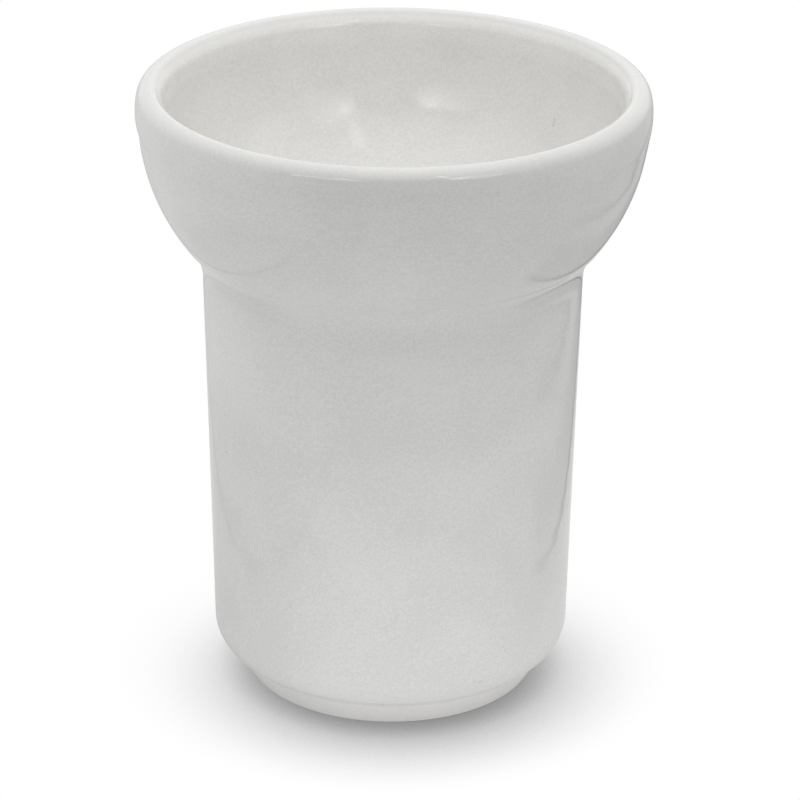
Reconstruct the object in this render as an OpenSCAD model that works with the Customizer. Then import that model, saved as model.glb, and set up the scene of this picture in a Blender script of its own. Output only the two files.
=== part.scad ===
// Free-standing ceramic vessel: a flared bowl with a rolled rim on a tapered barrel and a bare foot ring.
// Every piece is turned from one section. The origin is at the centre of the foot, on the standing surface.

/* [Rim] */
// Outer diameter over the rolled rim
rim_d = 90; // [86:0.5:97]
// Height from the standing surface to the crest of the rim
height = 111.5; // [104:0.5:125]
// Thickness of the rolled lip
lip_t = 5.2; // [4.9:0.1:6]
// Radius of the lip crest in section
crest_r = 2.4; // [2:0.1:2.6]
// Radius of the bulged outer flank of the lip in section
flank_r = 12; // [10:0.1:16]
// Height of the lip, from its crest to the crease under it
lip_h = 8; // [7:0.1:9]

/* [Bowl] */
// Radius of the bowl's outer curve in section
bowl_r = 37; // [33:0.1:44]
// Depth from the rim crest to the lower edge of the bowl
bowl_depth = 27.4; // [24:0.1:31]
// How far the lower edge of the bowl stands out from the barrel
edge_out = 3.2; // [2.4:0.1:4]
// Rounding of the lower edge of the bowl
edge_r = 2.6; // [1.4:0.1:3.4]
// Radius of the neck fillet under that edge
neck_r = 10.5; // [8:0.1:13]
// Rounding of the inside where the bowl runs into the barrel
throat_r = 8; // [5:0.1:11]

/* [Barrel] */
// Outer diameter of the barrel, measured level with the lower edge of the bowl
barrel_d = 67.6; // [64:0.1:71]
// Taper of the barrel on each side, in degrees
barrel_draft = 1.25; // [0.5:0.05:2]
// Thickness of the barrel wall, both glaze coats included
barrel_wall = 4.6; // [3.8:0.1:5.6]

/* [Base] */
// Radius of the rounded lower shoulder in section
shoulder_r = 5.9; // [4.5:0.1:8]
// Sweep of the shoulder from the barrel to the glaze line, in degrees
shoulder_sweep = 52; // [40:1:60]
// Thickness of the floor, both glaze coats included
floor_t = 6; // [5:0.1:8]
// Radius of the inside corner between floor and barrel
floor_r = 6; // [3:0.1:9]

/* [Foot] */
// Height of the bare foot, up to the glaze line
foot_h = 5.6; // [4.5:0.1:7]
// Outer diameter of the foot where it stands
foot_d = 51.6; // [48:0.1:54]
// Width of the ring that the foot stands on
foot_w = 5; // [4:0.1:7]
// Rounding of the two standing edges of the foot
foot_round = 0.8; // [0.4:0.1:1.2]
// Depth of the recess inside the foot
recess_h = 2.5; // [1.5:0.1:3.5]

/* [Glaze] */
// Thickness of each glaze coat
glaze_t = 0.35; // [0.2:0.05:0.5]

/* [Hidden] */

// Largest step along an arc of the section, in degrees
arc_step = 3;
// Facets round the axis
turn_fn = 144;
glaze_white = [0.80, 0.80, 0.78];
body_white = [0.84, 0.82, 0.77];

// Geometry helpers. A point is [radius, height], and an angle of 0 points away from the axis.
function heading(a) = [cos(a), sin(a)];
function angle_of(v) = atan2(v.y, v.x);
function reversed(list) = [for (i = [len(list) - 1 : -1 : 0]) list[i]];
function arc(c, r, a0, a1, first = 1) =
    let (n = max(2, ceil(abs(a1 - a0) / arc_step)))
    [for (i = [first : n]) c + r * heading(a0 + (a1 - a0) * i / n)];
// Centre, on the side of the axis, of the circle of radius r from p down to q
function chord_centre(p, q, r) =
    let (chord = q - p, l = norm(chord))
    (p + q) / 2 + sqrt(r * r - l * l / 4) * [chord.y, -chord.x] / l;
// Where two circles cross, on the left of the way from c0 to c1 (side = 1) or on its right (side = -1)
function crossing(c0, r0, c1, r1, side) =
    let (d = norm(c1 - c0), u = (c1 - c0) / d, a = (r0 * r0 - r1 * r1 + d * d) / (2 * d))
    c0 + a * u + side * sqrt(r0 * r0 - a * a) * [-u.y, u.x];

// Lip: a round crest between two bulged flanks, the outer one ending in the crease
rim_r = rim_d / 2;
crest_c = [rim_r - lip_t / 2, height - crest_r];
flank_rise = sqrt(pow(flank_r - crest_r, 2) - pow(flank_r - lip_t / 2, 2));
flank_c = [rim_r - flank_r, crest_c.y - flank_rise];
crest_a = angle_of(crest_c - flank_c);
crease_z = height - lip_h;
crease = [flank_c.x + sqrt(pow(flank_r, 2) - pow(flank_c.y - crease_z, 2)), crease_z];

// Barrel wall: a straight line that leans in towards the foot
barrel_top = [barrel_d / 2, height - bowl_depth];
wall_out = heading(-barrel_draft);
wall_down = heading(-90 - barrel_draft);
function barrel_x(z) = barrel_top.x - (barrel_top.y - z) * tan(barrel_draft);
function inside_x(z) = barrel_x(z) - barrel_wall / cos(barrel_draft);

// Bowl: one arc from the crease to the lower edge, rounded there, then the neck fillet into the barrel
edge = barrel_top + [edge_out, 0];
bowl_c = chord_centre(crease, edge, bowl_r);
neck_drop = -edge_out * sin(barrel_draft)
    + sqrt(pow(neck_r, 2) - pow(neck_r - edge_out * cos(barrel_draft), 2));
neck = barrel_top + neck_drop * wall_down;
neck_c = neck + neck_r * wall_out;
edge_c = crossing(bowl_c, bowl_r - edge_r, neck_c, neck_r + edge_r, 1);
bowl_end_a = angle_of(edge_c - bowl_c);
edge_end_a = angle_of(neck_c - edge_c);

// Inside of the bowl: an arc about the same centre, met by the lip crest and rounded into the barrel
inside_r = norm(crest_c - bowl_c) - crest_r;
mouth_a = angle_of(crest_c - bowl_c);
throat_0 = barrel_top + (throat_r - barrel_wall) * wall_out;
throat_fall = (throat_0 - bowl_c) * wall_down;
throat_drop = sqrt(pow(throat_fall, 2) - pow(norm(throat_0 - bowl_c), 2) + pow(inside_r + throat_r, 2))
    - throat_fall;
throat_c = throat_0 + throat_drop * wall_down;
throat_a = angle_of(throat_c - bowl_c);

// Base: the shoulder tangent to the barrel outside, the floor corner tangent to it inside
shoulder_z = foot_h + shoulder_r * sin(shoulder_sweep);
shoulder_c = [barrel_x(shoulder_z) - shoulder_r / cos(barrel_draft), shoulder_z];
floor_z = recess_h + floor_t;
floor_c = [inside_x(floor_z + floor_r) - floor_r / cos(barrel_draft), floor_z + floor_r];
base_z = max(floor_c.y, shoulder_z) + glaze_t;

// Foot: a bevel from the glaze line down to the standing ring
foot_r = foot_d / 2;
foot_inner_r = foot_r - foot_w;
foot_top_x = shoulder_c.x + sqrt(pow(shoulder_r - glaze_t, 2) - pow(shoulder_z - foot_h, 2));
bevel_a = angle_of([foot_top_x - foot_r, foot_h]);
bevel_tangent = foot_round * tan(bevel_a / 2);

// Outer surface set in by d, from the lip crest to the glaze line
function outline(d) =
    let (side = angle_of(crease - bowl_c) > angle_of(crease - flank_c) ? -1 : 1,
         fold = crossing(bowl_c, bowl_r - d, flank_c, flank_r - d, side),
         glaze_a = -asin((shoulder_z - foot_h) / (shoulder_r - d)))
    concat(
        arc(crest_c, crest_r - d, 90, crest_a, 0),
        arc(flank_c, flank_r - d, crest_a, angle_of(fold - flank_c)),
        arc(bowl_c, bowl_r - d, angle_of(fold - bowl_c), bowl_end_a),
        arc(edge_c, edge_r - d, bowl_end_a, edge_end_a),
        arc(neck_c, neck_r + d, 180 + edge_end_a, 180 - barrel_draft),
        arc(shoulder_c, shoulder_r - d, -barrel_draft, glaze_a, 0));

// Inner surface set into the wall by d, from the lip crest to the middle of the floor
function inline(d) =
    concat(
        arc(crest_c, crest_r - d, 90, 180 + mouth_a, 0),
        arc(bowl_c, inside_r + d, mouth_a, throat_a),
        arc(throat_c, throat_r - d, 180 + throat_a, 180 - barrel_draft),
        arc(floor_c, floor_r + d, -barrel_draft, -90, 0),
        [[0, floor_z - d]]);

// Turns a closed section round the axis
module turned() {
    rotate_extrude($fn = turn_fn) children();
}

// Clay body between two levels, under the glaze
module body_section(z0, z1) {
    turned() intersection() {
        polygon(concat(outline(glaze_t), [[0, foot_h]], reversed(inline(glaze_t))));
        polygon([[0, z0], [rim_r, z0], [rim_r, z1], [0, z1]]);
    }
}

module rim_roll() {
    color(body_white) body_section(crease_z, height);
}

module flared_bowl() {
    color(body_white) body_section(neck.y, crease_z);
}

module barrel_wall() {
    color(body_white) body_section(base_z, neck.y);
}

// The floor has a spigot that the foot ring is luted round
module base_dish() {
    color(body_white) {
        body_section(foot_h, base_z);
        translate([0, 0, recess_h]) cylinder(r = foot_inner_r, h = foot_h - recess_h, $fn = turn_fn);
    }
}

module foot_ring() {
    inner_c = [foot_inner_r + foot_round, foot_round];
    outer_c = [foot_r - bevel_tangent, foot_round];
    color(body_white) turned() polygon(concat(
        arc(inner_c, foot_round, 180, 270, 0),
        arc(outer_c, foot_round, -90, bevel_a - 90, 0),
        [[foot_top_x, foot_h], [foot_inner_r, foot_h]]));
}

module outer_glaze() {
    color(glaze_white) turned() polygon(concat(outline(0), reversed(outline(glaze_t))));
}

module inner_glaze() {
    color(glaze_white) turned() polygon(concat(inline(0), reversed(inline(glaze_t))));
}

module recess_glaze() {
    color(glaze_white) translate([0, 0, recess_h - glaze_t])
        cylinder(r = foot_inner_r, h = glaze_t, $fn = turn_fn);
}

rim_roll();
flared_bowl();
barrel_wall();
base_dish();
foot_ring();
outer_glaze();
inner_glaze();
recess_glaze();
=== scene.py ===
"""Looks of the flared ceramic vessel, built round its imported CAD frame.

The clay sections keep their CAD solids. The glaze coats and the foot ring are turned again from the same
section, finer and with the small irregularities of fired ware. Lengths are in metres, in the frame's own
axes: +Z is the axis of the vessel, its foot stands at the origin and -Y faces the camera.
"""

import cmath
import logging
import math
from dataclasses import dataclass, field
from enum import Enum

import bpy
import numpy as np
from mathutils import Matrix, Vector


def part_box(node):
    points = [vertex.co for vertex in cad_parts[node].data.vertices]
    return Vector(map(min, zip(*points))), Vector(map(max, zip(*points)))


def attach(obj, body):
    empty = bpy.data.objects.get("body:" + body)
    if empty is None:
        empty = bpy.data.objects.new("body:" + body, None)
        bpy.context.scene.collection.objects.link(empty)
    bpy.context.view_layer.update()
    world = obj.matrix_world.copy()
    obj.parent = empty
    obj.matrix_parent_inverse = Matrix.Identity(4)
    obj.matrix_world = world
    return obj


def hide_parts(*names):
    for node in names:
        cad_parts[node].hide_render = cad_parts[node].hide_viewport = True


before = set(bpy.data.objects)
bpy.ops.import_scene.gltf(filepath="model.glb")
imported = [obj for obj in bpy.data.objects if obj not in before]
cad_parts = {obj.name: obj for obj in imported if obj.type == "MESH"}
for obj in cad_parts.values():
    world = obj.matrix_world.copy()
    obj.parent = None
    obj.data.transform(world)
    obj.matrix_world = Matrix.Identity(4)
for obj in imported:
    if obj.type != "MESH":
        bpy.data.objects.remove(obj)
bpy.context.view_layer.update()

LOG = logging.getLogger("vessel")
MM = 0.001
BODY = "root"
Span = tuple[float, float]
Stops = tuple[Span, ...]
Triple = tuple[float, float, float]
Colour = tuple[float, float, float, float]
Socket = bpy.types.NodeSocket


class Slot(Enum):
    """Names of the material slots of the record."""

    CLAY = "clay_body"
    GLAZE = "glaze"


class Rays(Enum):
    """Kinds of ray that the stage tells apart, by the name of the Light Path output."""

    CAMERA = "Is Camera Ray"
    GLOSSY = "Is Glossy Ray"
    THROUGH = "Is Transmission Ray"


def heading(angle: float) -> complex:
    """Returns the unit vector of an angle in the section, where 0 points away from the axis."""
    return cmath.exp(1j * angle)


def dot(a: complex, b: complex) -> float:
    """Returns the dot product of two vectors of the section."""
    return (a * b.conjugate()).real


def crossing(c0: complex, r0: float, c1: complex, r1: float, side: int) -> complex:
    """Finds where two circles of the section cross.

    Args:
        c0: Centre of the first circle.
        r0: Radius of the first circle.
        c1: Centre of the second circle.
        r1: Radius of the second circle.
        side: 1 for the crossing on the left of the way from c0 to c1, -1 for the one on its right.

    Returns:
        The crossing point.
    """
    way = c1 - c0
    gap = abs(way)
    along = (r0 * r0 - r1 * r1 + gap * gap) / (2 * gap)
    return c0 + way / gap * complex(along, side * math.sqrt(r0 * r0 - along * along))


@dataclass
class Path:
    """A run of points of the section, each with the direction that the surface faces there."""

    points: list[complex] = field(default_factory=list)
    normals: list[complex] = field(default_factory=list)

    def arc(
        self, centre: complex, radius: float, a0: float, a1: float, step: float, hollow: bool = False
    ) -> "Path":
        """Adds an arc, without its first point where the path is already there.

        Args:
            centre: Centre of the arc.
            radius: Radius of the arc.
            a0: Angle of its first point.
            a1: Angle of its last point.
            step: Longest step along the arc.
            hollow: True where the surface faces the centre.

        Returns:
            This path.
        """
        count = max(2, math.ceil(abs(a1 - a0) * radius / step))
        for i in range(count + 1):
            way = heading(a0 + (a1 - a0) * i / count)
            self.add(centre + radius * way, -way if hollow else way)
        return self

    def line(self, end: complex, step: float) -> "Path":
        """Adds a straight run to a point, with the last normal kept.

        Args:
            end: Last point of the run.
            step: Longest step along the run.

        Returns:
            This path.
        """
        start, way = self.points[-1], self.normals[-1]
        count = max(1, math.ceil(abs(end - start) / step))
        for i in range(1, count + 1):
            self.add(start + (end - start) * i / count, way)
        return self

    def add(self, point: complex, normal: complex, tolerance: float = 1e-7) -> None:
        """Adds a point unless the path already ends there."""
        if not self.points or abs(point - self.points[-1]) > tolerance:
            self.points.append(point)
            self.normals.append(normal)


@dataclass(frozen=True)
class Section:
    """Turned section of the vessel: the arcs of its solids, with the sizes that the frame shows."""

    rim_radius: float
    height: float
    crease_height: float
    glaze_line: float
    coat: float
    floor_height: float
    recess_height: float
    foot_inner_radius: float
    foot_top_radius: float
    lip_thickness: float = 5.2 * MM
    crest_radius: float = 2.4 * MM
    flank_radius: float = 12.0 * MM
    bowl_radius: float = 37.0 * MM
    bowl_depth: float = 27.4 * MM
    edge_out: float = 3.2 * MM
    edge_radius: float = 2.6 * MM
    neck_radius: float = 10.5 * MM
    throat_radius: float = 8.0 * MM
    barrel_radius: float = 33.8 * MM
    draft: float = math.radians(1.25)
    wall: float = 4.6 * MM
    shoulder_radius: float = 5.9 * MM
    shoulder_sweep: float = math.radians(52)
    corner_radius: float = 6.0 * MM
    foot_radius: float = 25.8 * MM
    foot_rounding: float = 0.8 * MM
    fine_step: float = 0.25 * MM
    wall_step: float = 0.5 * MM

    @classmethod
    def from_frame(cls) -> "Section":
        """Reads from the frame the sizes that its nodes show, and returns the section."""
        outer_low, outer_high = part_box("outer_glaze")
        recess_low, recess_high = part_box("recess_glaze")
        coat = recess_high.z - recess_low.z
        return cls(
            rim_radius=outer_high.x,
            height=outer_high.z,
            crease_height=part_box("rim_roll")[0].z,
            glaze_line=outer_low.z,
            coat=coat,
            floor_height=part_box("inner_glaze")[0].z + coat,
            recess_height=recess_high.z,
            foot_inner_radius=recess_high.x,
            foot_top_radius=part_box("foot_ring")[1].x,
        )

    @property
    def crest_centre(self) -> complex:
        """Centre of the crest's arc."""
        return complex(self.rim_radius - self.lip_thickness / 2, self.height - self.crest_radius)

    @property
    def flank_centre(self) -> complex:
        """Centre of the bulged outer flank of the lip."""
        reach, inset = self.flank_radius - self.crest_radius, self.flank_radius - self.lip_thickness / 2
        rise = math.sqrt(reach ** 2 - inset ** 2)
        return complex(self.rim_radius - self.flank_radius, self.crest_centre.imag - rise)

    @property
    def crease(self) -> complex:
        """Point of the crease under the lip, where the flank ends and the bowl starts."""
        drop = self.flank_centre.imag - self.crease_height
        reach = math.sqrt(self.flank_radius ** 2 - drop ** 2)
        return complex(self.flank_centre.real + reach, self.crease_height)

    @property
    def crease_bend(self) -> float:
        """Angle by which the surface turns at the crease."""
        return cmath.phase(self.crease - self.bowl_centre) - cmath.phase(self.crease - self.flank_centre)

    @property
    def barrel_top(self) -> complex:
        """Point of the barrel's line that lies level with the lower edge of the bowl."""
        return complex(self.barrel_radius, self.height - self.bowl_depth)

    @property
    def wall_out(self) -> complex:
        """Direction that the barrel's wall faces."""
        return heading(-self.draft)

    @property
    def wall_down(self) -> complex:
        """Direction down along the barrel's wall."""
        return heading(-math.pi / 2 - self.draft)

    @property
    def bowl_centre(self) -> complex:
        """Centre of the bowl's arcs, outside and inside."""
        chord = self.barrel_top + self.edge_out - self.crease
        sagitta = math.sqrt(self.bowl_radius ** 2 - abs(chord) ** 2 / 4)
        return self.crease + chord / 2 - 1j * chord / abs(chord) * sagitta

    @property
    def neck_centre(self) -> complex:
        """Centre of the neck fillet."""
        reach = self.neck_radius ** 2 - (self.neck_radius - self.edge_out * math.cos(self.draft)) ** 2
        drop = math.sqrt(reach) - self.edge_out * math.sin(self.draft)
        return self.barrel_top + drop * self.wall_down + self.neck_radius * self.wall_out

    @property
    def inside_radius(self) -> float:
        """Radius of the bowl's inner arc."""
        return abs(self.crest_centre - self.bowl_centre) - self.crest_radius

    @property
    def throat_centre(self) -> complex:
        """Centre of the rounding where the bowl runs into the barrel inside."""
        start = self.barrel_top + (self.throat_radius - self.wall) * self.wall_out
        way = start - self.bowl_centre
        fall = dot(way, self.wall_down)
        reach = fall ** 2 - abs(way) ** 2 + (self.inside_radius + self.throat_radius) ** 2
        return start + (math.sqrt(reach) - fall) * self.wall_down

    def wall_radius(self, height: float) -> float:
        """Returns the outer radius of the barrel at a height."""
        return self.barrel_radius - (self.barrel_top.imag - height) * math.tan(self.draft)

    @property
    def shoulder_centre(self) -> complex:
        """Centre of the rounded lower shoulder."""
        height = self.glaze_line + self.shoulder_radius * math.sin(self.shoulder_sweep)
        return complex(self.wall_radius(height) - self.shoulder_radius / math.cos(self.draft), height)

    @property
    def corner_centre(self) -> complex:
        """Centre of the inside corner between the floor and the barrel."""
        height = self.floor_height + self.corner_radius
        inset = (self.wall + self.corner_radius) / math.cos(self.draft)
        return complex(self.wall_radius(height) - inset, height)

    def outside(self, depth: float = 0.0) -> Path:
        """Traces the outer surface from the lip's crest down to the glaze line.

        Args:
            depth: How far the traced surface lies under the glaze.

        Returns:
            The path, whose normals point out of the wall.
        """
        flank, bowl, crest = self.flank_centre, self.bowl_centre, self.crest_centre
        neck, shoulder = self.neck_centre, self.shoulder_centre
        flank_r, bowl_r, edge_r = self.flank_radius - depth, self.bowl_radius - depth, self.edge_radius
        shoulder_r = self.shoulder_radius - depth
        fine, coarse = self.fine_step, self.wall_step
        fold = crossing(bowl, bowl_r, flank, flank_r, -1)
        edge = crossing(bowl, self.bowl_radius - edge_r, neck, self.neck_radius + edge_r, 1)
        crest_a, bowl_a = cmath.phase(crest - flank), cmath.phase(edge - bowl)
        edge_a = cmath.phase(neck - edge)
        end_a = -math.asin((shoulder.imag - self.glaze_line) / shoulder_r)
        path = Path()
        path.arc(crest, self.crest_radius - depth, math.pi / 2, crest_a, fine)
        path.arc(flank, flank_r, crest_a, cmath.phase(fold - flank), fine)
        path.arc(bowl, bowl_r, cmath.phase(fold - bowl), bowl_a, coarse)
        path.arc(edge, edge_r - depth, bowl_a, edge_a, fine)
        path.arc(neck, self.neck_radius + depth, math.pi + edge_a, math.pi - self.draft, fine, hollow=True)
        path.line(shoulder + shoulder_r * self.wall_out, coarse)
        return path.arc(shoulder, shoulder_r, -self.draft, end_a, fine)

    def inside(self, depth: float = 0.0) -> Path:
        """Traces the inner surface from the lip's crest down to the middle of the floor.

        Args:
            depth: How far the traced surface lies under the glaze.

        Returns:
            The path, whose normals point out of the wall.
        """
        crest, bowl = self.crest_centre, self.bowl_centre
        throat, corner = self.throat_centre, self.corner_centre
        corner_r = self.corner_radius + depth
        fine, coarse = self.fine_step, self.wall_step
        mouth_a, throat_a = cmath.phase(crest - bowl), cmath.phase(throat - bowl)
        path = Path()
        path.arc(crest, self.crest_radius - depth, math.pi / 2, math.pi + mouth_a, fine)
        path.arc(bowl, self.inside_radius + depth, mouth_a, throat_a, coarse, hollow=True)
        path.arc(throat, self.throat_radius - depth, math.pi + throat_a, math.pi - self.draft, fine)
        path.line(corner + corner_r * self.wall_out, coarse)
        path.arc(corner, corner_r, -self.draft, -math.pi / 2, fine, hollow=True)
        return path.line(complex(0, self.floor_height - depth), coarse)


@dataclass(frozen=True)
class Relief:
    """Small irregularities of the fired surface, none of which leaves the vessel's own box."""

    sway: float = 0.06 * MM
    sway_turn: float = 0.8
    ring_depth: float = 0.012 * MM
    ring_pitch: float = 4.3 * MM
    ring_drift: float = 0.7
    crease_depth: float = 0.10 * MM
    crease_width: float = 0.9 * MM
    crease_side: float = math.pi
    crease_span: int = 6
    fill_share: float = 0.75
    fill_reach: float = 3.6 * MM
    crest_fade: float = 6.0 * MM
    ease: float = 0.09 * MM
    ease_side: float = math.radians(-95)
    ease_span: int = 4
    ease_start: Span = (0.3 * MM, 2.2 * MM)
    ease_end: Span = (7.5 * MM, 2.2 * MM)
    hem_depth: float = 0.22 * MM
    hem_reach: float = 1.1 * MM
    mouth_sink: float = 0.26 * MM
    mouth_swell: float = 0.52 * MM
    mouth_crest: Span = (0.0, 0.6 * MM)
    mouth_turn: Span = (0.5 * MM, 5.6 * MM)
    mouth_end: Span = (24.0 * MM, 7.0 * MM)

    def depth(self, section: Section, turn: np.ndarray, height: np.ndarray, outside: bool) -> np.ndarray:
        """Works out how deep the surface lies under the plain section.

        Args:
            section: Section of the vessel.
            turn: Angle of each point round the axis.
            height: Height of each point.
            outside: True for the outer surface, which has the crease and the hem above the foot.

        Returns:
            The depth of each point.
        """
        up = height / section.height
        under = section.height - height
        sway = self.sway / 2 * (1 + np.sin(2 * turn + self.sway_turn * math.tau * up))
        fade = np.clip(under / self.crest_fade, 0, 1)
        phase = math.tau * height / self.ring_pitch + turn + self.ring_drift * np.sin(turn)
        rings = self.ring_depth / 2 * (1 + np.sin(phase)) * fade
        if not outside:
            return sway + rings + self.mouth(under)
        off = height - section.crease_height
        notch = self.crease_depth * np.exp(-(off / self.crease_width) ** 2)
        fill = self.fill_share * section.crease_bend * self.fill_reach / 4
        filled = fill * np.clip(1 - np.abs(off) / self.fill_reach, 0, 1) ** 2
        side = (0.5 + 0.5 * np.cos(turn - self.crease_side)) ** self.crease_span
        facing = np.clip(np.cos(turn - self.ease_side), 0, 1) ** self.ease_span
        ease = self.ease * facing * self.step(under, *self.ease_start) * self.step(under, *self.ease_end)
        hem = self.hem_depth * np.clip(1 - (height - section.glaze_line) / self.hem_reach, 0, 1) ** 2
        return sway + rings + hem + ease + notch * side - filled * (1 - side)

    def mouth(self, under: np.ndarray) -> np.ndarray:
        """Works out how the glaze eases the inner edge of the lip: thin over the edge, pooled under it.

        Args:
            under: How far each point lies under the crest.

        Returns:
            The depth of each point, negative where the glaze has pooled.
        """
        turned = self.step(under, *self.mouth_turn)
        thin = self.mouth_sink * self.step(under, *self.mouth_crest) * (1 - turned)
        return thin - self.mouth_swell * turned * self.step(under, *self.mouth_end)

    @staticmethod
    def step(value: np.ndarray, start: float, end: float) -> np.ndarray:
        """Returns a smooth step from 0 at the start to 1 at the end."""
        part = np.clip((value - start) / (end - start), 0, 1)
        return part * part * (3 - 2 * part)


@dataclass
class Lathe:
    """Turns a closed section into a mesh."""

    facets: int = 288
    sharp: float = math.radians(50)
    pole_radius: float = 1e-9

    def turn(self, name: str, points: np.ndarray) -> bpy.types.Object:
        """Makes a mesh from rings of points that follow a closed section round the axis.

        Args:
            name: Name of the piece.
            points: Points by ring and place round the axis, each ring facets long. A ring on the axis is
                one pole.

        Returns:
            The piece, linked to the scene.
        """
        rings = len(points)
        radius, height = np.hypot(points[:, 0, 0], points[:, 0, 1]), points[:, 0, 2]
        inward = np.sum(radius * np.roll(height, -1) - np.roll(radius, -1) * height) > 0
        pole = [float(np.abs(ring[:, :2]).max()) < self.pole_radius for ring in points]
        index, verts = [], []
        for ring, is_pole in zip(points, pole):
            start = len(verts)
            verts.extend(ring[:1].tolist() if is_pole else ring.tolist())
            index.append([start] * self.facets if is_pole else list(range(start, start + self.facets)))
        faces = []
        for i in range(rings):
            a, b = index[i], index[(i + 1) % rings]
            if pole[i] and pole[(i + 1) % rings]:
                continue
            for j in range(self.facets):
                k = (j + 1) % self.facets
                corners = tuple(dict.fromkeys((a[j], b[j], b[k], a[k])))
                faces.append(corners[::-1] if inward else corners)
        mesh = bpy.data.meshes.new(name)
        mesh.from_pydata(verts, [], faces)
        mesh.shade_smooth()
        mesh.set_sharp_from_angle(angle=self.sharp)
        mesh.validate()
        piece = bpy.data.objects.new(name, mesh)
        bpy.context.scene.collection.objects.link(piece)
        return piece

    def rings(self, path: Path, depth: "np.ndarray | float" = 0.0) -> np.ndarray:
        """Places a path's points round the axis, sunk under the surface.

        Args:
            path: Path of the section.
            depth: How far each point lies under the path, along its normal.

        Returns:
            Points by ring and place round the axis.
        """
        turn = self.turns()[None, :]
        point = np.array(path.points)[:, None] - np.array(path.normals)[:, None] * depth
        point = point * np.ones_like(turn)
        return np.stack([point.real * np.cos(turn), point.real * np.sin(turn), point.imag], axis=-1)

    def turns(self) -> np.ndarray:
        """Returns the angles of the facets' corners round the axis."""
        return np.arange(self.facets) * math.tau / self.facets


class Bench:
    """Lays out the nodes of one material."""

    MIX_FACTOR, MIX_A, MIX_B, MIX_RESULT = 0, 6, 7, 2

    def __init__(self, tree: bpy.types.NodeTree) -> None:
        """Starts from an empty tree."""
        self.tree = tree
        tree.nodes.clear()

    def add(self, kind: str, values: "dict | None" = None, **settings: object) -> bpy.types.Node:
        """Adds a node.

        Args:
            kind: Class name of the node.
            values: Value, or output socket to link from, by the name or number of the input.
            settings: Settings of the node itself.

        Returns:
            The node.
        """
        node = self.tree.nodes.new(kind)
        for key, value in settings.items():
            setattr(node, key, value)
        for key, value in (values or {}).items():
            if isinstance(value, Socket):
                self.tree.links.new(value, node.inputs[key])
            else:
                node.inputs[key].default_value = value
        return node

    def remap(self, value: Socket, span: Span, to: Span) -> Socket:
        """Maps a value's span to another with a smooth step and returns the output."""
        limits = {
            "Value": value,
            "From Min": span[0],
            "From Max": span[1],
            "To Min": to[0],
            "To Max": to[1],
        }
        return self.add("ShaderNodeMapRange", limits, interpolation_type="SMOOTHSTEP").outputs["Result"]

    def math(self, operation: str, a: object, b: object) -> Socket:
        """Adds a Math node on two values or sockets and returns its output."""
        return self.add("ShaderNodeMath", {0: a, 1: b}, operation=operation).outputs["Value"]

    def mix(self, factor: Socket, a: object, b: object) -> Socket:
        """Mixes two colours by a factor and returns the output."""
        values = {self.MIX_FACTOR: factor, self.MIX_A: a, self.MIX_B: b}
        return self.add("ShaderNodeMix", values, data_type="RGBA").outputs[self.MIX_RESULT]

    def dot(self, way: Socket, onto: Triple) -> Socket:
        """Adds the dot product of a vector and a fixed one and returns its output."""
        return self.add("ShaderNodeVectorMath", {0: way, 1: onto}, operation="DOT_PRODUCT").outputs["Value"]

    def ramp(self, value: Socket, stops: Stops) -> Socket:
        """Runs a value through a ramp of grey tones.

        Args:
            value: Value to map.
            stops: Value and tone of each stop, in rising order.

        Returns:
            The tone.
        """
        low, high = stops[0][0], stops[-1][0]
        limits = {"Value": value, "From Min": low, "From Max": high}
        spread = self.add("ShaderNodeMapRange", limits).outputs["Result"]
        node = self.add("ShaderNodeValToRGB", {"Fac": spread})
        stretch = node.color_ramp.elements
        while len(stretch) < len(stops):
            stretch.new(0.5)
        for element, (at, _) in zip(stretch, stops):
            element.position = (at - low) / (high - low)
        for element, (_, tone) in zip(stretch, stops):
            element.color = (tone, tone, tone, 1.0)
        return node.outputs["Color"]

    def noise(self, place: Socket, size: float, detail: float = 2.0) -> Socket:
        """Adds a noise whose features have about that size and returns its value."""
        values = {"Vector": place, "Scale": 1 / size, "Detail": detail}
        return self.add("ShaderNodeTexNoise", values).outputs["Fac"]


@dataclass(frozen=True)
class Flaw:
    """A pinhole or speck in the glaze."""

    place: Triple
    size: float
    shade: float


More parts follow.
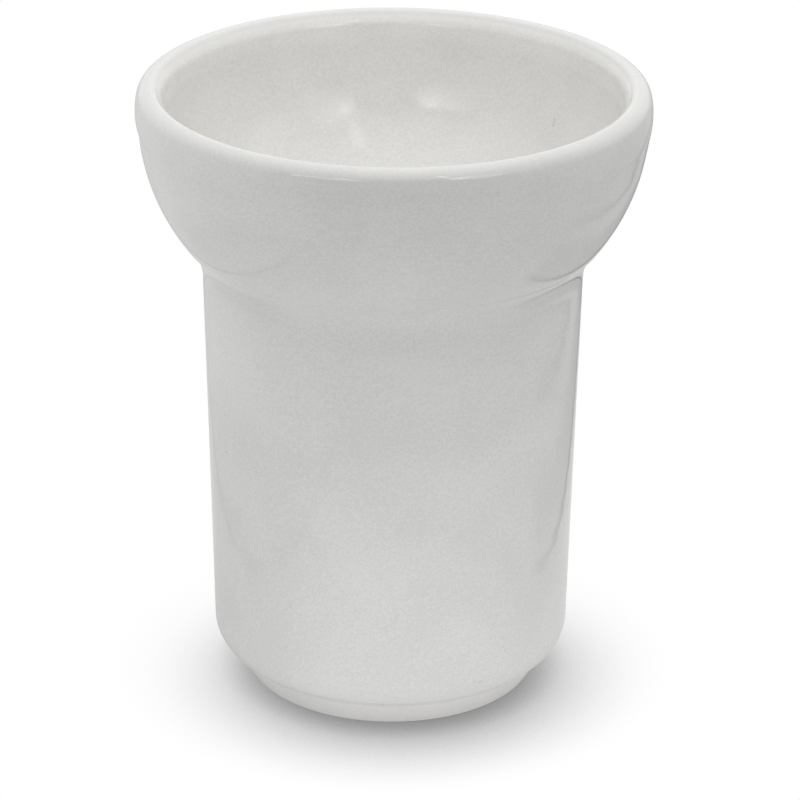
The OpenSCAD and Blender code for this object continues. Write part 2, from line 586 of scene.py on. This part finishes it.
@dataclass(frozen=True)
class GlazeFinish:
    """White glaze: glossy, slightly warm, with fine mottling, an eggshell surface, a few specks and painted
    shade at its edges.
    """

    name: str = "white_glaze"
    pale: Colour = (0.855, 0.852, 0.835, 1.0)
    deep: Colour = (0.779, 0.776, 0.759, 1.0)
    speck: Colour = (0.30, 0.28, 0.25, 1.0)
    # Painted shade: the thin tone darkens the glaze over the lip's crest and just above the glaze line.
    thin: Colour = (0.780, 0.777, 0.760, 1.0)
    crest_shade: Span = (106.5 * MM, 110.5 * MM)
    crest_shade_share: float = 0.35
    hem_shade: Span = (5.8 * MM, 8.6 * MM)
    hem_shade_share: float = 0.9
    cloud_size: float = 14 * MM
    cloud_detail: float = 3.0
    cloud_share: float = 0.35
    cloud_span: Span = (0.3, 0.7)
    grain_size: float = 0.46 * MM
    grain_share: float = 0.65
    grain_lift: float = 0.4
    peel_size: float = 1.6 * MM
    wave_size: float = 9 * MM
    wave_detail: float = 1.0
    wave_depth: float = 0.03 * MM
    tone_span: Span = (0.36, 0.64)
    gloss: Span = (0.05, 0.09)
    refraction: float = 1.5
    bump: float = 0.06
    bump_depth: float = 0.05 * MM
    flaws: tuple[Flaw, ...] = ()

    def make(self) -> bpy.types.Material:
        """Returns the material."""
        material = bpy.data.materials.new(self.name)
        material.use_nodes = True
        bench = Bench(material.node_tree)
        place = bench.add("ShaderNodeTexCoord").outputs["Object"]
        cloud = bench.noise(place, self.cloud_size, self.cloud_detail)
        grain = bench.noise(place, self.grain_size)
        peel = bench.noise(place, self.peel_size)
        clouds, grains = (
            bench.math("MULTIPLY", value, share)
            for value, share in ((cloud, self.cloud_share), (grain, self.grain_share))
        )
        blend = bench.math("ADD", clouds, grains)
        tone = bench.mix(bench.remap(blend, self.tone_span, (0, 1)), self.pale, self.deep)
        level = bench.add("ShaderNodeSeparateXYZ", {0: place}).outputs["Z"]
        # Painted shade: darker over the lip's crest and over the last millimetres above the glaze line.
        tone = bench.mix(bench.remap(level, self.crest_shade, (0, self.crest_shade_share)), tone, self.thin)
        tone = bench.mix(bench.remap(level, self.hem_shade, (self.hem_shade_share, 0)), tone, self.thin)
        for flaw in self.flaws:
            away = bench.add("ShaderNodeVectorMath", {0: place, 1: flaw.place}, operation="DISTANCE")
            spot = bench.remap(away.outputs["Value"], (0, flaw.size), (flaw.shade, 0))
            tone = bench.mix(spot, tone, self.speck)
        surface = bench.math("ADD", peel, bench.math("MULTIPLY", grain, self.grain_lift))
        wave = bench.add("ShaderNodeBump", {
            "Height": bench.noise(place, self.wave_size, self.wave_detail),
            "Distance": self.wave_depth,
        })
        bump = bench.add("ShaderNodeBump", {
            "Height": surface,
            "Strength": self.bump,
            "Distance": self.bump_depth,
            "Normal": wave.outputs["Normal"],
        })
        shader = bench.add("ShaderNodeBsdfPrincipled", {
            "Base Color": tone,
            "Roughness": bench.remap(cloud, self.cloud_span, self.gloss),
            "Normal": bump.outputs["Normal"],
            "IOR": self.refraction,
        })
        bench.add("ShaderNodeOutputMaterial", {"Surface": shader.outputs["BSDF"]})
        return material


@dataclass(frozen=True)
class ClayFinish:
    """Bare fired clay: matt, off-white, with fine grains, a few darker grits and a band of painted shade
    under the glaze line.
    """

    pale: Colour = (0.880, 0.873, 0.853, 1.0)
    deep: Colour = (0.805, 0.798, 0.775, 1.0)
    # Painted shade: a darker band along the groove just under the glaze line.
    groove_shade: Colour = (0.50, 0.48, 0.44, 1.0)
    groove_shade_level: float = 5.25 * MM
    groove_shade_reach: float = 0.8 * MM
    groove_shade_share: float = 0.16
    grain_size: float = 0.35 * MM
    grain_detail: float = 4.0
    grain_share: float = 0.6
    patch_size: float = 6 * MM
    patch_detail: float = 3.0
    patch_share: float = 0.4
    tone_span: Span = (0.3, 0.7)
    rough: Span = (0.72, 0.88)
    shine: float = 0.3
    bump: float = 0.35
    bump_depth: float = 0.08 * MM

    def make(self) -> bpy.types.Material:
        """Returns the material."""
        material = bpy.data.materials.new("bare_clay")
        material.use_nodes = True
        bench = Bench(material.node_tree)
        place = bench.add("ShaderNodeTexCoord").outputs["Object"]
        grain = bench.noise(place, self.grain_size, self.grain_detail)
        patch = bench.noise(place, self.patch_size, self.patch_detail)
        grains, patches = (
            bench.math("MULTIPLY", value, share)
            for value, share in ((grain, self.grain_share), (patch, self.patch_share))
        )
        blend = bench.math("ADD", grains, patches)
        tone = bench.mix(bench.remap(blend, self.tone_span, (0, 1)), self.pale, self.deep)
        level = bench.add("ShaderNodeSeparateXYZ", {0: place}).outputs["Z"]
        # Painted shade along the groove under the glaze line.
        away = bench.math("ABSOLUTE", bench.math("SUBTRACT", level, self.groove_shade_level), 0.0)
        tone = bench.mix(bench.remap(away, (0, self.groove_shade_reach), (self.groove_shade_share, 0)), tone, self.groove_shade)
        relief = {"Height": grain, "Strength": self.bump, "Distance": self.bump_depth}
        bump = bench.add("ShaderNodeBump", relief)
        shader = bench.add("ShaderNodeBsdfPrincipled", {
            "Base Color": tone,
            "Roughness": bench.remap(patch, self.tone_span, self.rough),
            "Normal": bump.outputs["Normal"],
            "Specular IOR Level": self.shine,
        })
        bench.add("ShaderNodeOutputMaterial", {"Surface": shader.outputs["BSDF"]})
        return material


@dataclass
class GlazeCoats:
    """The three glaze coats: outside, inside and in the recess under the foot."""

    section: Section
    outer: GlazeFinish
    inner: GlazeFinish
    lathe: Lathe = field(default_factory=Lathe)
    relief: Relief = field(default_factory=Relief)
    recess_taper: float = 3.0

    def build(self) -> list[bpy.types.Object]:
        """Turns and dresses the coats and returns them."""
        white, warm_lit = self.outer.make(), self.inner.make()
        coats = (
            (self.wall_coat("outer_coat", outside=True), "outer_glaze", white),
            (self.wall_coat("inner_coat", outside=False), "inner_glaze", warm_lit),
            (self.recess_coat(), "recess_glaze", white),
        )
        for coat, node, material in coats:
            coat.data.materials.append(material)
            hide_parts(node)
            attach(coat, BODY)
        return [coat for coat, _, _ in coats]

    def wall_coat(self, name: str, outside: bool) -> bpy.types.Object:
        """Turns the coat of one side of the wall.

        Args:
            name: Name of the piece.
            outside: True for the outer coat, False for the inner one.

        Returns:
            The piece, a closed shell.
        """
        trace = self.section.outside if outside else self.section.inside
        face, back = trace(), trace(self.section.coat)
        turn = self.lathe.turns()[None, :]
        height = np.array(face.points).imag[:, None]
        shown = self.lathe.rings(face, self.relief.depth(self.section, turn, height, outside))
        hidden = self.lathe.rings(back)[::-1]
        return self.lathe.turn(name, np.concatenate([shown, hidden]))

    def recess_coat(self) -> bpy.types.Object:
        """Turns the thin coat over the recess, a disc that dips a little at its rim, and returns it."""
        section = self.section
        top, edge = section.recess_height, section.foot_inner_radius
        low = top - section.coat
        path = Path()
        path.add(complex(0, low), -1j)
        path.line(complex(edge - section.coat, low), section.wall_step)
        path.add(complex(edge, low + section.coat / self.recess_taper), -1j)
        path.add(complex(edge, top), 1j)
        path.line(complex(0, top), section.wall_step)
        return self.lathe.turn("recess_coat", self.lathe.rings(path))


@dataclass
class ClayBody:
    """The clay sections: four keep their CAD solids, and the bare foot ring is turned again, finer."""

    section: Section
    finish: ClayFinish
    lathe: Lathe = field(default_factory=Lathe)
    covered: tuple[str, ...] = ("rim_roll", "flared_bowl", "barrel_wall", "base_dish")
    groove_depth: float = 0.18 * MM
    groove_width: float = 0.45 * MM
    groove_drop: float = 0.35 * MM

    def build(self) -> list[bpy.types.Object]:
        """Dresses the covered sections, turns the foot ring and returns them all."""
        material = self.finish.make()
        solids = [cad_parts[name] for name in self.covered]
        ring = self.foot_ring()
        for piece in (*solids, ring):
            piece.data.materials.clear()
            piece.data.materials.append(material)
        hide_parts("foot_ring")
        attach(ring, BODY)
        return [*solids, ring]

    def foot_ring(self) -> bpy.types.Object:
        """Turns the bevelled foot ring, with rounded edges and a groove under the glaze, and returns it."""
        section = self.section
        inner, top, line = section.foot_inner_radius, section.foot_top_radius, section.glaze_line
        rounding, stand, fine = section.foot_rounding, section.foot_radius, section.fine_step / 2
        bevel = cmath.phase(complex(top - stand, line))
        outer = complex(stand - rounding * math.tan(bevel / 2), rounding)
        path = Path()
        path.add(complex(inner, line), -1 + 0j)
        path.line(complex(inner, rounding), section.wall_step)
        path.arc(complex(inner + rounding, rounding), rounding, math.pi, math.pi * 1.5, fine)
        path.line(complex(outer.real, 0), section.fine_step)
        path.arc(outer, rounding, -math.pi / 2, bevel - math.pi / 2, fine)
        path.line(complex(top, line), fine)
        below = np.abs(np.array(path.points) - complex(top, line))
        groove = self.groove_depth * np.exp(-((below - self.groove_drop) / self.groove_width) ** 2)
        return self.lathe.turn("bare_foot", self.lathe.rings(path, groove[:, None]))


@dataclass(frozen=True)
class Umbrella:
    """A studio umbrella, aimed at the vessel, that only shows in the gloss of its glaze.

    Its angles are in degrees and its lengths in metres.
    """

    name: str
    azimuth: float
    elevation: float
    distance: float
    width: float
    tall: float
    glow: float
    power: float = 4.0

    def hang(self, target: Vector) -> bpy.types.Object:
        """Hangs the lamp.

        Args:
            target: Point that it faces.

        Returns:
            The lamp's object.
        """
        data = bpy.data.lights.new(self.name, "AREA")
        data.shape = "ELLIPSE"
        data.size, data.size_y = self.width, self.tall
        data.energy = self.power * self.width * self.tall * self.glow
        lamp = bpy.data.objects.new(self.name, data)
        around, up = math.radians(self.azimuth), math.radians(self.elevation)
        way = Vector((math.sin(around) * math.cos(up), -math.cos(around) * math.cos(up), math.sin(up)))
        lamp.location = target + way * self.distance
        lamp.rotation_euler = way.to_track_quat("Z", "Y").to_euler()
        lamp.visible_camera = False
        lamp.visible_diffuse = False
        bpy.context.scene.collection.objects.link(lamp)
        return lamp


@dataclass
class Studio:
    """White sheet on a pale table, glowing as painted light, soft light from above and the sides, and lamps
    that only gloss shows.
    """

    target: Vector
    sky: Triple = (0.47, 0.44, 1.46)
    sky_lean: Triple = (0.05, 0.0, 0.0)
    room_side: Span = (0.55, 0.70)
    room_rise: Span = (0.43, 0.48)
    room_dark: float = 0.85
    floor_half: float = 4.0
    # Glow of the floor by distance from the axis, for rays other than the camera's: painted light, dimmed
    # near the foot as painted shade.
    front_glow: Stops = (
        (26 * MM, 0.58), (36 * MM, 0.84), (60 * MM, 1.07), (95 * MM, 1.08), (140 * MM, 0.86),
        (220 * MM, 0.46), (320 * MM, 0.05),
    )
    back_glow: Stops = (
        (26 * MM, 0.35), (40 * MM, 0.70), (70 * MM, 0.85), (200 * MM, 0.55), (400 * MM, 0.65),
    )
    left_glow: Stops = (
        (26 * MM, 0.48), (40 * MM, 0.60), (130 * MM, 0.60), (180 * MM, 0.96), (400 * MM, 1.00),
    )
    right_glow: Stops = (
        (26 * MM, 0.53), (40 * MM, 0.74), (70 * MM, 0.68), (120 * MM, 0.60), (300 * MM, 0.58),
    )
    # Dark lines and steps at the sheet's edges, painted as shadow lines in the floor's glow.
    front_edges: Stops = (
        (-81.2 * MM, 1.0), (-80 * MM, 0.30), (-77.5 * MM, 0.30), (-76.3 * MM, 1.0),
        (73.5 * MM, 1.0), (81 * MM, 1.06),
    )
    back_edges: Stops = (
        (-83.2 * MM, 1.0), (-82 * MM, 0.50), (-80.5 * MM, 0.50), (-79.3 * MM, 1.0),
        (60 * MM, 1.0), (70 * MM, 0.88), (73 * MM, 0.88), (75 * MM, 0.10), (77.5 * MM, 0.10),
        (80 * MM, 0.66), (108 * MM, 0.65), (125 * MM, 1.0),
        (144 * MM, 1.0), (152 * MM, 0.40), (160 * MM, 0.73), (175 * MM, 1.0),
    )
    turn_back: Span = (-15 * MM, 5 * MM)
    contact_reach: float = 21.5 * MM
    contact_dark: float = 0.17
    contact_span: Span = (-0.13, 1.02)
    contact_samples: int = 8
    contact_lean: Triple = (-0.10, 0.38, 0.920)
    lamps: tuple[Umbrella, ...] = (
        Umbrella("left_umbrella", -28, 17, 0.9, 0.50, 0.24, 1.1),
        Umbrella("left_core", -20, 20, 0.9, 0.14, 0.12, 1.5),
        Umbrella("left_lobe", -41, 10, 0.9, 0.07, 0.07, 2.4),
        Umbrella("right_umbrella", 36, 21, 0.9, 0.40, 0.36, 1.1),
        Umbrella("right_core", 28, 24, 0.9, 0.14, 0.14, 1.9),
        Umbrella("right_stand", 24, 43, 0.9, 0.05, 0.34, 2.4),
    )

    def build(self) -> None:
        """Lays the floor, fills the air and hangs the lamps."""
        self.lay_floor()
        self.fill_air()
        for lamp in self.lamps:
            lamp.hang(self.target)

    def seen(self, bench: Bench) -> tuple[Socket, Socket]:
        """Tells the rays that see the background from those that only carry its light.

        Args:
            bench: Bench of the material.

        Returns:
            1 for the rays of the camera, of gloss and of glass, and 1 for those of gloss alone.
        """
        path = bench.add("ShaderNodeLightPath")
        gloss = path.outputs[Rays.GLOSSY.value]
        shiny = bench.math("MAXIMUM", gloss, path.outputs[Rays.THROUGH.value])
        return bench.math("MAXIMUM", path.outputs[Rays.CAMERA.value], shiny), gloss

    def sheet_glow(self, bench: Bench) -> Socket:
        """Returns the glow of the sheet round the vessel: painted light, with painted shade near the foot
        and painted shadow lines at its edges.
        """
        place = bench.add("ShaderNodeTexCoord").outputs["Object"]
        away = bench.add("ShaderNodeVectorMath", {0: place}, operation="LENGTH").outputs["Value"]
        way = bench.add("ShaderNodeVectorMath", {0: place}, operation="NORMALIZE").outputs["Vector"]
        axes = bench.add("ShaderNodeSeparateXYZ", {0: place}).outputs
        aside = bench.add("ShaderNodeSeparateXYZ", {0: way}).outputs["X"]
        right = bench.math("GREATER_THAN", axes["X"], 0.0)
        behind = bench.remap(axes["Y"], self.turn_back, (0, 1))
        side = bench.mix(right, bench.ramp(away, self.left_glow), bench.ramp(away, self.right_glow))
        ahead = bench.mix(behind, bench.ramp(away, self.front_glow), bench.ramp(away, self.back_glow))
        before, after = (bench.ramp(axes["X"], stops) for stops in (self.front_edges, self.back_edges))
        edges = bench.mix(behind, before, after)
        tone = bench.mix(bench.math("MULTIPLY", aside, aside), ahead, side)
        return bench.math("MULTIPLY", tone, edges)

    def contact(self, bench: Bench) -> Socket:
        """Returns how bright the floor lies next to the vessel, darkest at its foot."""
        lean = bench.add("ShaderNodeCombineXYZ", dict(enumerate(self.contact_lean)))
        values = {"Distance": self.contact_reach, "Normal": lean.outputs[0]}
        near = bench.add("ShaderNodeAmbientOcclusion", values, samples=self.contact_samples)
        return bench.remap(near.outputs["AO"], self.contact_span, (self.contact_dark, 1.0))

    def lay_floor(self) -> bpy.types.Object:
        """Lays the floor, white where it is seen, with the vessel's contact shadow, and returns it."""
        half = self.floor_half
        mesh = bpy.data.meshes.new("floor")
        corners = [(-half, -half, 0), (half, -half, 0), (half, half, 0), (-half, half, 0)]
        mesh.from_pydata(corners, [], [range(len(corners))])
        floor = bpy.data.objects.new("floor", mesh)
        bpy.context.scene.collection.objects.link(floor)
        material = bpy.data.materials.new("pale_floor")
        material.use_nodes = True
        material.cycles.emission_sampling = "NONE"
        bench = Bench(material.node_tree)
        tone = self.sheet_glow(bench)
        seen, gloss = self.seen(bench)
        shadow = bench.add("ShaderNodeEmission", {"Strength": self.contact(bench)})
        # The floor glows for diffuse and gloss rays: painted light from the sheet, which lights the vessel.
        sheet = bench.add("ShaderNodeEmission", {"Strength": tone})
        white = bench.add("ShaderNodeMixShader", {0: gloss, 1: shadow.outputs[0], 2: sheet.outputs[0]})
        both = bench.add("ShaderNodeMixShader", {0: seen, 1: sheet.outputs[0], 2: white.outputs[0]})
        bench.add("ShaderNodeOutputMaterial", {"Surface": both.outputs[0]})
        mesh.materials.append(material)
        return floor

    def fill_air(self) -> None:
        """Makes the world: white where it is seen, elsewhere a soft light from above and from the sides."""
        world = bpy.data.worlds.new("studio_air")
        world.use_nodes = True
        bench = Bench(world.node_tree)
        way = bench.add("ShaderNodeTexCoord").outputs["Generated"]
        square = bench.add("ShaderNodeVectorMath", {0: way, 1: way}, operation="MULTIPLY").outputs["Vector"]
        level = bench.math("ADD", bench.dot(square, self.sky), bench.dot(way, self.sky_lean))
        soft = bench.add("ShaderNodeBackground", {"Color": (1, 1, 1, 1), "Strength": level})
        seen, gloss = self.seen(bench)
        axes = bench.add("ShaderNodeSeparateXYZ", {0: way}).outputs
        low = bench.remap(axes["Z"], self.room_rise, (self.room_dark, 0))
        ahead = bench.remap(bench.math("MULTIPLY", axes["Y"], -1.0), self.room_side, (0, 1))
        room = bench.math("MULTIPLY", bench.math("MULTIPLY", low, ahead), gloss)
        bright = bench.math("SUBTRACT", 1.0, room)
        white = bench.add("ShaderNodeBackground", {"Color": (1, 1, 1, 1), "Strength": bright})
        both = bench.add("ShaderNodeMixShader", {0: seen, 1: soft.outputs[0], 2: white.outputs[0]})
        bench.add("ShaderNodeOutputWorld", {"Surface": both.outputs[0]})
        bpy.context.scene.world = world


@dataclass(frozen=True)
class PhotoCamera:
    """Camera at the photograph's viewing angle."""

    distance: float = 692 * MM
    elevation: float = math.radians(23.65)
    aim: Triple = (1.43 * MM, 0.0, 51.6 * MM)
    focal_px: float = 3855.0
    image_px: float = 800.0
    roll: float = math.radians(0.45)

    def place(self) -> bpy.types.Object:
        """Places the camera, makes it the scene's own and returns it."""
        data = bpy.data.cameras.new("photo_camera")
        data.sensor_fit = "HORIZONTAL"
        data.lens = data.sensor_width * self.focal_px / self.image_px
        camera = bpy.data.objects.new("photo_camera", data)
        back = Vector((0, -math.cos(self.elevation), math.sin(self.elevation)))
        aim = Vector(self.aim)
        look = back.to_track_quat("Z", "Y").to_matrix().to_4x4()
        level = Matrix.Translation(aim + back * self.distance) @ look
        camera.matrix_world = level @ Matrix.Rotation(self.roll, 4, "Z")
        bpy.context.scene.collection.objects.link(camera)
        bpy.context.scene.camera = camera
        return camera


def main() -> None:
    """Builds the vessel's looks, the studio and the camera."""
    logging.basicConfig(level=logging.INFO, format="%(name)s: %(message)s")
    bpy.context.scene.view_settings.view_transform = "Standard"
    section = Section.from_frame()
    white = GlazeFinish(flaws=(
        Flaw((-29.15 * MM, -15.49 * MM, 48.12 * MM), 0.42 * MM, 0.50),
        Flaw((16.01 * MM, -27.84 * MM, 9.34 * MM), 0.42 * MM, 0.36),
        Flaw((-17.64 * MM, -27.27 * MM, 23.62 * MM), 0.42 * MM, 0.22),
    ))
    # The inner glaze is about a tenth paler than the outer one: painted light that brightens the inside of
    # the bowl. Its crest shade is painted shade.
    warm_lit = GlazeFinish(
        name="warm_lit_glaze",
        pale=(0.952, 0.944, 0.919, 1.0),
        deep=(0.872, 0.864, 0.839, 1.0),
        crest_shade=(109.3 * MM, 111.2 * MM),
        crest_shade_share=0.5,
        wave_size=7 * MM,
        wave_depth=0.13 * MM,
        gloss=(0.11, 0.17),
        flaws=(
            Flaw((29.00 * MM, 24.75 * MM, 96.28 * MM), 0.40 * MM, 0.34),
            Flaw((28.82 * MM, 24.72 * MM, 95.80 * MM), 0.40 * MM, 0.34),
            Flaw((28.68 * MM, 24.69 * MM, 95.24 * MM), 0.40 * MM, 0.34),
        ),
    )
    assemblies = (ClayBody(section, ClayFinish()), GlazeCoats(section, white, warm_lit))
    for assembly in assemblies:
        for piece in assembly.build():
            LOG.info("%s: %s, %d faces", type(assembly).__name__, piece.name, len(piece.data.polygons))
    Studio(Vector((0, 0, section.height / 2))).build()
    LOG.info("camera: %s", PhotoCamera().place().name)


if __name__ == "__main__":
    main()
